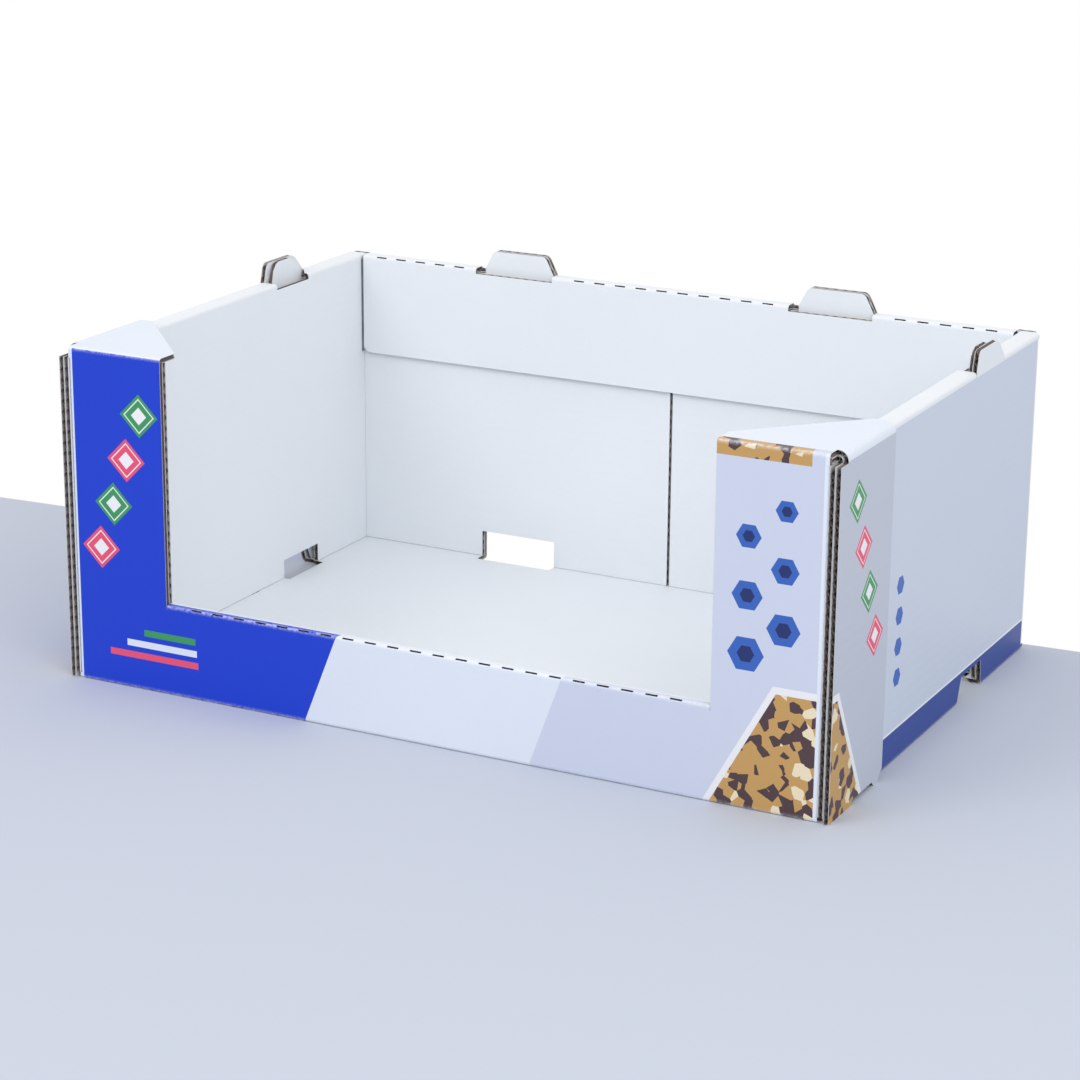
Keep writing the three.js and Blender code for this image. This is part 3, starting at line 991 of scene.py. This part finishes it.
def flap_print(name, ground):
    """A chain of diamonds and a field of chips, bare over the fold to the cap."""
    paper = Paper(name, ground, SIDE_ROUGHNESS)
    u, v = paper.y, paper.z
    chain(paper, u, v, *FLAP_CHAIN)
    chip_field(paper, (u - CHIP_FIELD_FOOT_Y) + v * CHIP_FIELD_LEAN, v)
    paper.ink((v * -1.0 + (CAP_HEIGHT - CAP_PRINT_DROP)).filled(), WHITE_LINER)
    return paper.finish()


def plain_paper(name, colour, roughness):
    return Paper(name, colour, roughness).finish()


def make_materials():
    front = front_print()
    white = plain_paper("white_liner", INNER_LINER, INNER_ROUGHNESS)
    core = plain_paper("liner_edge", LINER_EDGE, EDGE_ROUGHNESS)
    medium = plain_paper("fluted_medium", BARE_MEDIUM, MEDIUM_ROUGHNESS)
    wall = wall_print()
    flap_right = flap_print("flap_print_right", FLAP_GROUND)
    flap_left = flap_print("flap_print_left", BLUE)
    return {
        "long": [front, white, core, medium, wall],
        "wall": [wall, white, core, medium],
        "flap_right": [flap_right, white, core, medium],
        "flap_left": [flap_left, white, core, medium],
        "plain": [front, white, core, medium],
    }


# Camera, fitted to the picture

FRAME_PX = 1080.0
FOCAL_PX = 3059.0
SENSOR = 36.0
CAMERA_AT = Vector((979.898, -1925.431, 767.578)) * MM
CAMERA_YAW = math.radians(-27.353)
CAMERA_PITCH = math.radians(17.294)
CAMERA_ROLL = math.radians(0.452)
CAMERA_REACH = 50.0


def camera_axes():
    ahead = Vector((
        math.sin(CAMERA_YAW) * math.cos(CAMERA_PITCH),
        math.cos(CAMERA_YAW) * math.cos(CAMERA_PITCH),
        -math.sin(CAMERA_PITCH),
    ))
    level = Vector((math.cos(CAMERA_YAW), -math.sin(CAMERA_YAW), 0.0))
    above = level.cross(ahead)
    right = level * math.cos(CAMERA_ROLL) + above * math.sin(CAMERA_ROLL)
    up = above * math.cos(CAMERA_ROLL) - level * math.sin(CAMERA_ROLL)
    return right, up, ahead


def make_camera():
    right, up, ahead = camera_axes()
    data = bpy.data.cameras.new("camera")
    data.sensor_width = SENSOR
    data.lens = FOCAL_PX / FRAME_PX * SENSOR
    data.clip_end = CAMERA_REACH
    camera = bpy.data.objects.new("camera", data)
    turn = Matrix((right, up, -ahead)).transposed().to_4x4()
    camera.matrix_world = Matrix.Translation(CAMERA_AT) @ turn
    bpy.context.scene.collection.objects.link(camera)
    bpy.context.scene.camera = camera


def on_floor(pixel):
    """Where a pixel of the picture meets the floor."""
    right, up, ahead = camera_axes()
    across = (pixel[0] - FRAME_PX / 2) / FOCAL_PX
    down = (pixel[1] - FRAME_PX / 2) / FOCAL_PX
    ray = ahead + right * across - up * down
    return CAMERA_AT - ray * (CAMERA_AT.z / ray.z)


# Floor, backdrop and light, in metres and watts

FLOOR_SIZE = 12.0
FLOOR_COLOUR = linear(198, 204, 217)
FLOOR_ROUGHNESS = 0.9
FLOOR_EDGE_SOFTNESS = 0.002
AMBIENT = 0.86
LAMP_SIZE = 1.6
KEY_AT, KEY_AIM, KEY_POWER = (-1.2, -2.4, 2.4), (0.0, 0.0, 0.1), 22.0
FILL_AT, FILL_AIM, FILL_POWER = (1.8, -1.6, 1.9), (-0.1, 0.0, 0.1), 18.0
FLOOR_EDGE_LEFT_PX = (0.0, 497.0)
FLOOR_EDGE_RIGHT_PX = (1080.0, 652.0)


def seen_directly(tree):
    """1 for what the camera sees, directly or in a reflection, and 0 for other light."""
    rays = tree.nodes.new("ShaderNodeLightPath")
    return Field(tree, rays.outputs["Is Camera Ray"]).larger(Field(tree, rays.outputs["Is Glossy Ray"]))


def make_floor():
    """A pale floor, white past the line where the picture's floor ends."""
    left, right = on_floor(FLOOR_EDGE_LEFT_PX), on_floor(FLOOR_EDGE_RIGHT_PX)
    way = (right - left).normalized()
    beyond = Vector((-way.y, way.x, 0.0))
    mesh = bpy.data.meshes.new("floor")
    half = FLOOR_SIZE / 2
    corners = [(-half, -half, 0), (half, -half, 0), (half, half, 0), (-half, half, 0)]
    mesh.from_pydata(corners, [], [(0, 1, 2, 3)])
    material = bpy.data.materials.new("floor")
    material.use_nodes = True
    tree = material.node_tree
    shader = tree.nodes["Principled BSDF"]
    shader.inputs["Base Color"].default_value = FLOOR_COLOUR
    shader.inputs["Roughness"].default_value = FLOOR_ROUGHNESS
    shader.inputs["Specular IOR Level"].default_value = 0.0
    place = tree.nodes.new("ShaderNodeTexCoord")
    axes = tree.nodes.new("ShaderNodeSeparateXYZ")
    tree.links.new(place.outputs["Object"], axes.inputs[0])
    x, y = Field(tree, axes.outputs[0]), Field(tree, axes.outputs[1])
    distance = (x - left.x) * beyond.x + (y - left.y) * beyond.y
    past = (distance * -1.0).filled(FLOOR_EDGE_SOFTNESS)
    white = tree.nodes.new("ShaderNodeEmission")
    white.inputs["Strength"].default_value = 1.0
    mix = tree.nodes.new("ShaderNodeMixShader")
    tree.links.new((past * seen_directly(tree)).socket, mix.inputs[0])
    tree.links.new(shader.outputs[0], mix.inputs[1])
    tree.links.new(white.outputs[0], mix.inputs[2])
    tree.links.new(mix.outputs[0], tree.nodes["Material Output"].inputs["Surface"])
    mesh.materials.append(material)
    floor = bpy.data.objects.new("floor", mesh)
    bpy.context.scene.collection.objects.link(floor)


def make_world():
    """White where it is seen, and a little dimmer as light."""
    world = bpy.data.worlds.new("studio")
    bpy.context.scene.world = world
    world.use_nodes = True
    tree = world.node_tree
    background = tree.nodes["Background"]
    strength = seen_directly(tree) * (1.0 - AMBIENT) + AMBIENT
    tree.links.new(strength.socket, background.inputs["Strength"])
    background.inputs["Color"].default_value = (1.0, 1.0, 1.0, 1.0)


def area_light(name, at, target, power):
    data = bpy.data.lights.new(name, "AREA")
    data.shape = "SQUARE"
    data.size = LAMP_SIZE
    data.energy = power
    light = bpy.data.objects.new(name, data)
    way = Vector(target) - Vector(at)
    light.matrix_world = Matrix.Translation(at) @ way.to_track_quat("-Z", "Y").to_matrix().to_4x4()
    bpy.context.scene.collection.objects.link(light)


def make_lights():
    area_light("key", KEY_AT, KEY_AIM, KEY_POWER)
    area_light("fill", FILL_AT, FILL_AIM, FILL_POWER)


make_camera()
make_world()
make_lights()
make_floor()

materials = make_materials()
long_panels(materials["long"])
for side_sign, side_name in ((-1, "left"), (1, "right")):
    outer_flap(side_sign, side_name, materials[f"flap_{side_name}"])
    side_wall(side_sign, side_name, materials["wall"])
    rear_flap(side_sign, side_name, materials["plain"])
    post_lining(side_sign, side_name, materials["plain"])
    hidden_flap(side_sign, side_name, materials["plain"])

view = bpy.context.scene.view_settings
view.view_transform = "Standard"
